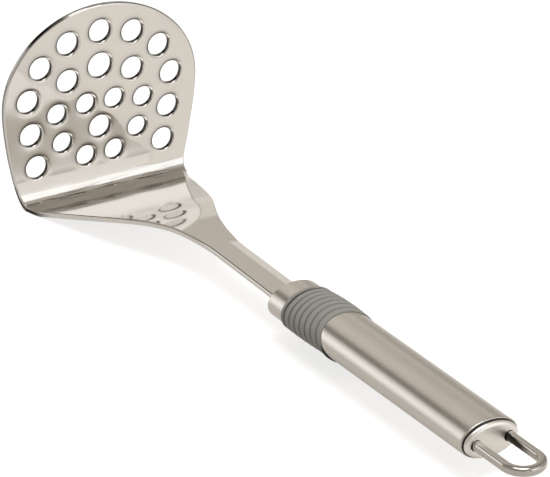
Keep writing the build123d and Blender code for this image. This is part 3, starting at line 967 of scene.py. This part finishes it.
def capParts():
    # skirt, rounded rim and pocket as rings, and the outer face and the pocket's floor with their
    # leg holes
    size = tubeHalfSize(tubeBackReach, cap["inset"])
    faceSize = size - cap["rimWidth"]
    pocketSize = skirtSize - cap["skirt"]
    front, chamfer, soft = capFrontReach, cap["chamfer"], cap["holeRound"]
    tall = capBackReach - front - cap["dome"]
    rings = [ovalRing(pocketReach, pocketSize), ovalRing(skirtReach, pocketSize),
             ovalRing(skirtReach, skirtSize), ovalRing(front, skirtSize),
             ovalRing(front, size - chamfer), ovalRing(front + chamfer, size)]
    rings += [ovalRing(front + cap["side"] + (tall - cap["side"]) * sine,
                       size - cap["rimWidth"] * (1 - cosine)) for sine, cosine in roundSteps(16)]
    aside, lift = cap["holeShift"]
    holes = np.array([(side * loop["legAcross"] + aside, lift, cap["legHole"]) for side in (-1, 1)])
    grown = holes + np.array([0, 0, soft])

    def faceReach(places):
        # the face swells by the dome's height from its border to its middle
        far = np.sum((places / faceSize) ** 2, -1)
        return front + tall + cap["dome"] * np.clip(1 - far, 0, 1)

    def floorReach(places):
        return np.full(len(places), pocketReach)

    def holeRing(hole, grow, reach):
        places = hole[:2] + circle(legColumns) * (hole[2] + grow)
        return np.stack([places[:, 0], np.broadcast_to(reach, legColumns), places[:, 1]], -1)

    parts = [shell(rings, loop=False), flatFace(faceSize, grown, faceReach),
             flatFace(pocketSize, holes, floorReach)]
    for hole in holes:
        edge = faceReach(hole[:2] + circle(legColumns) * (hole[2] + soft))
        wall = [holeRing(hole, soft * (1 - sine), edge - soft * (1 - cosine))
                for sine, cosine in roundSteps(6)]
        wall.append(holeRing(hole, 0, pocketReach))
        parts.append(shell(wall, loop=False))
    return parts


addPiece("domedCap", capParts(), capSteel, "end_cap")


def wireLoop():
    # a slightly squared section carried along one leg, half round and back along the other leg,
    # with a wider round one for the head at each hidden end, and its marks of painted dark
    # reflection and painted shade
    start = zeroY - loopHigh.y
    legAcross, wire = loop["legAcross"], loop["wire"]
    arcReach = zeroY - loopLow.y - wire - legAcross
    headEnd = start + loop["headLength"]
    legs = [start, start, headEnd, headEnd + 0.001 * mm]
    radii = [0, loop["headRadius"], loop["headRadius"], wire]
    legs += list(np.linspace(headEnd + 0.4 * mm, arcReach, 60))
    radii += [wire] * 60
    legs, radii = np.array(legs), np.array(radii)
    turn = np.linspace(0, math.pi, 73)[1:-1]
    middle = np.concatenate([
        np.stack([np.full(len(legs), -legAcross), legs], -1),
        np.stack([-legAcross * np.cos(turn), arcReach + legAcross * np.sin(turn)], -1),
        np.stack([np.full(len(legs), legAcross), legs[::-1]], -1)])
    outward = np.concatenate([
        np.tile([-1, 0], (len(legs), 1)),
        np.stack([-np.cos(turn), np.sin(turn)], -1),
        np.tile([1, 0], (len(legs), 1))])
    radii = np.concatenate([radii, np.full(len(turn), wire), radii[::-1]])
    columns = 64
    ring = circle(columns)
    power = loop["squareness"]
    squared = ring / (np.abs(ring) ** power).sum(-1, keepdims=True) ** (1 / power)
    ring = np.where((radii == wire)[:, None, None], squared, ring)
    flat = middle[:, None] + outward[:, None] * ring[..., :1] * radii[:, None, None]
    height = ring[..., 1] * radii[:, None]
    # painted dark reflection on the legs' inner sides, tapering away from the cap, and painted
    # shade at their feet
    behind = (flat[..., 1] - capBackReach) / loop["darkLength"]
    foot = 1 - smoothStep(flat[..., 1] - capBackReach, *loop["darkFoot"])
    shadeMarks = np.maximum(smoothStep(-ring[..., 0] - behind, *loop["darkFade"]), foot)
    points = toWorld(flat[..., 0], flat[..., 1], height)
    return (points, gridFaces(len(middle), columns, closed=True)), shadeMarks.ravel()


loopPart, loopMarks = wireLoop()
addPiece("hangingWireLoop", [loopPart], loopSteel, "hanging_loop", loopMarks)


# Stage, camera and light

camera = {
    "place": (-0.52963, -0.82139, 0.49958),
    "azimuth": math.radians(-32.37),
    "elevation": math.radians(25.33),
    "roll": math.radians(0.76),
    "focalPixels": 3000,
    "framePixels": 550,
    "sensor": 36,
}


def makeCamera():
    data = bpy.data.cameras.new("photoCamera")
    data.sensor_width = camera["sensor"]
    data.lens = camera["sensor"] * camera["focalPixels"] / camera["framePixels"]
    data.clip_start, data.clip_end = 0.05, 50
    eye = bpy.data.objects.new("photoCamera", data)
    bpy.context.scene.collection.objects.link(eye)
    a, e, r = camera["azimuth"], camera["elevation"], camera["roll"]
    back = Vector((math.sin(a) * math.cos(e), -math.cos(a) * math.cos(e), math.sin(e)))
    level = Vector((math.cos(a), math.sin(a), 0))
    upward = back.cross(level)
    right = level * math.cos(r) + upward * math.sin(r)
    top = back.cross(right)
    turn = Matrix((right, top, back)).transposed().to_4x4()
    eye.matrix_world = Matrix.Translation(camera["place"]) @ turn
    bpy.context.scene.camera = eye


floorLook = {
    "size": 4.0,
    "drop": 0.05 * mm,
    "colour": (0.48, 0.48, 0.48),
    "glow": 0.7,                      # added only for the camera, so that the floor shows white
    # and what is added for what mirrors it, at places from left to right
    "mirrorGlow": [(-0.02, 0.3), (0.05, 0.5), (0.11, 0.5), (0.15, 0.08), (0.4, 0.08), (0.6, 0.25)],
    "mirrorSides": (-0.2, 0.8),
    "mirrorTint": (1.0, 0.95, 0.87),
}


def makeFloor():
    size = floorLook["size"]
    mesh = bpy.data.meshes.new("floor")
    corners = [(-size, -size, 0), (size, -size, 0), (size, size, 0), (-size, size, 0)]
    mesh.from_pydata(corners, [], [(0, 1, 2, 3)])
    floor = bpy.data.objects.new("floor", mesh)
    floor.location.z = -floorLook["drop"]
    bpy.context.scene.collection.objects.link(floor)
    material, tree, shader = newMaterial("paleFloor", floorLook["colour"], 0, 0.9)
    path = tree.nodes.new("ShaderNodeLightPath").outputs
    seen = maths(tree, "MAXIMUM", path["Is Camera Ray"], path["Is Transmission Ray"])
    glow = maths(tree, "MULTIPLY", seen, floorLook["glow"])
    across = coordinates(tree, "Object")[0]
    sides = levelsAlong(tree, across, floorLook["mirrorGlow"], *floorLook["mirrorSides"])
    mirrored = maths(tree, "MULTIPLY", path["Is Glossy Ray"], sides)
    tree.links.new(maths(tree, "ADD", glow, mirrored), shader.inputs["Emission Strength"])
    tint = mixed(tree, path["Is Glossy Ray"], (1, 1, 1), floorLook["mirrorTint"], colours=True)
    tree.links.new(tint, shader.inputs["Emission Color"])
    mesh.materials.append(material)


def levelsAlong(tree, value, stops, first, last):
    # goes linearly through the stops, each a value from first to last and its level up to 2
    place = maths(tree, "DIVIDE", maths(tree, "SUBTRACT", value, first), last - first)
    ramp = tree.nodes.new("ShaderNodeValToRGB")
    elements = ramp.color_ramp.elements
    while len(elements) < len(stops):
        elements.new(0.5)
    for element, (at, level) in zip(elements, stops):
        element.position = (at - first) / (last - first)
        element.color = (level / 2, level / 2, level / 2, 1)
    tree.links.new(place, ramp.inputs["Fac"])
    return maths(tree, "MULTIPLY", ramp.outputs["Color"], 2)


# The studio: a grey room with soft cards of light. Turns and tilts are in degrees. Round "up", a
# turn goes from +Y over +X and a tilt rises from the floor. Round "handle", a turn goes from +X
# over +Z and a tilt leans towards +Y. A card is its turn, tilt, two half sizes, softness and level.

studio = {
    "room": 0.38,
    "strips": [(0, 0.4), (12, 0.44), (27, 0.42), (30, 0.9), (36, 0.9), (39, 0.58), (46, 0.62),
               (58, 0.72), (70, 0.84), (82, 0.83), (93, 0.78), (100, 0.33), (107, 0.14),
               (115, 0.17), (121, 0.5), (130, 1.2), (144, 1.55), (156, 1.75), (168, 1.55),
               (175, 1.15), (180, 1.0)],
    "stripTilts": (35, 44),
    "cards": [
        ("handle", 12, 61, 26, 6.5, 2, 0.78),   # low down beyond the plate
        ("up", -120, 38, 48, 32, 6, 0.42),      # dark left
        ("up", 95, 30, 22, 40, 8, 0.55),        # right
        ("up", 142, 25, 28, 27, 4, 0.92),       # large soft box behind the camera's right
        ("up", 149, 14, 19, 32, 5, 1.25),       # and its brighter parts
        ("up", 154.5, 26, 14.5, 19, 3, 1.48),
        ("up", 136, 57, 30, 4, 3, 0.5),
        ("up", -172, 15, 9, 8, 3, 1.0),
        ("handle", 172, 50, 10, 8, 4, 1.35),    # the lower end of the handle's bright strip
        ("up", 0, 90, 180, 17, 4, 5.0),         # overhead
    ],
    "warmth": (1.07, 1.0, 0.91),                # the room's tint, and the levels between which it
    "whiteLevels": (0.68, 1.15),                # goes over to white
    "horizon": (5, 11, 0.6),                    # a white band round the horizon: from, to and level
}


def makeWorld():
    world = bpy.data.worlds.new("studio")
    bpy.context.scene.world = world
    world.use_nodes = True
    tree = world.node_tree
    x, y, z = coordinates(tree, "Generated")
    degrees = 180 / math.pi

    def angleOf(sine, cosine):
        return maths(tree, "MULTIPLY", maths(tree, "ARCTAN2", sine, cosine), degrees)

    def tiltOf(value):
        return maths(tree, "MULTIPLY", maths(tree, "ARCSINE", value), degrees)

    def ramp(value, low, high):
        # 0 at low and 1 at high
        remap = remapped(tree, value, low, high)
        remap.interpolation_type = "SMOOTHSTEP"
        return remap.outputs[0]

    angles = {"up": (angleOf(x, y), tiltOf(z)), "handle": (angleOf(z, x), tiltOf(y))}
    stripLight = levelsAlong(tree, angles["handle"][0], studio["strips"], 0, 180)
    inStrips = ramp(angles["handle"][1], *studio["stripTilts"])
    light = mixed(tree, inStrips, studio["room"], stripLight)
    low, high, level = studio["horizon"]
    light = mixed(tree, ramp(angles["up"][1], high, low), light, level)
    for about, turn, tilt, wide, tall, soft, level in studio["cards"]:
        turned = maths(tree, "PINGPONG", maths(tree, "SUBTRACT", angles[about][0], turn), 180)
        tilted = maths(tree, "ABSOLUTE", maths(tree, "SUBTRACT", angles[about][1], tilt))
        share = maths(tree, "MULTIPLY", ramp(turned, wide + soft, wide - soft),
                      ramp(tilted, tall + soft, tall - soft))
        light = mixed(tree, share, light, level)

    # what the camera sees of the studio itself is plain white
    seen = tree.nodes.new("ShaderNodeLightPath").outputs["Is Camera Ray"]
    white = maths(tree, "MAXIMUM", ramp(light, *studio["whiteLevels"]), seen)
    background = tree.nodes["Background"].inputs
    tint = mixed(tree, white, studio["warmth"], (1, 1, 1), colours=True)
    tree.links.new(tint, background["Color"])
    tree.links.new(mixed(tree, seen, light, 1.0), background["Strength"])


makeCamera()
makeFloor()
makeWorld()
bpy.context.scene.view_settings.view_transform = "Standard"
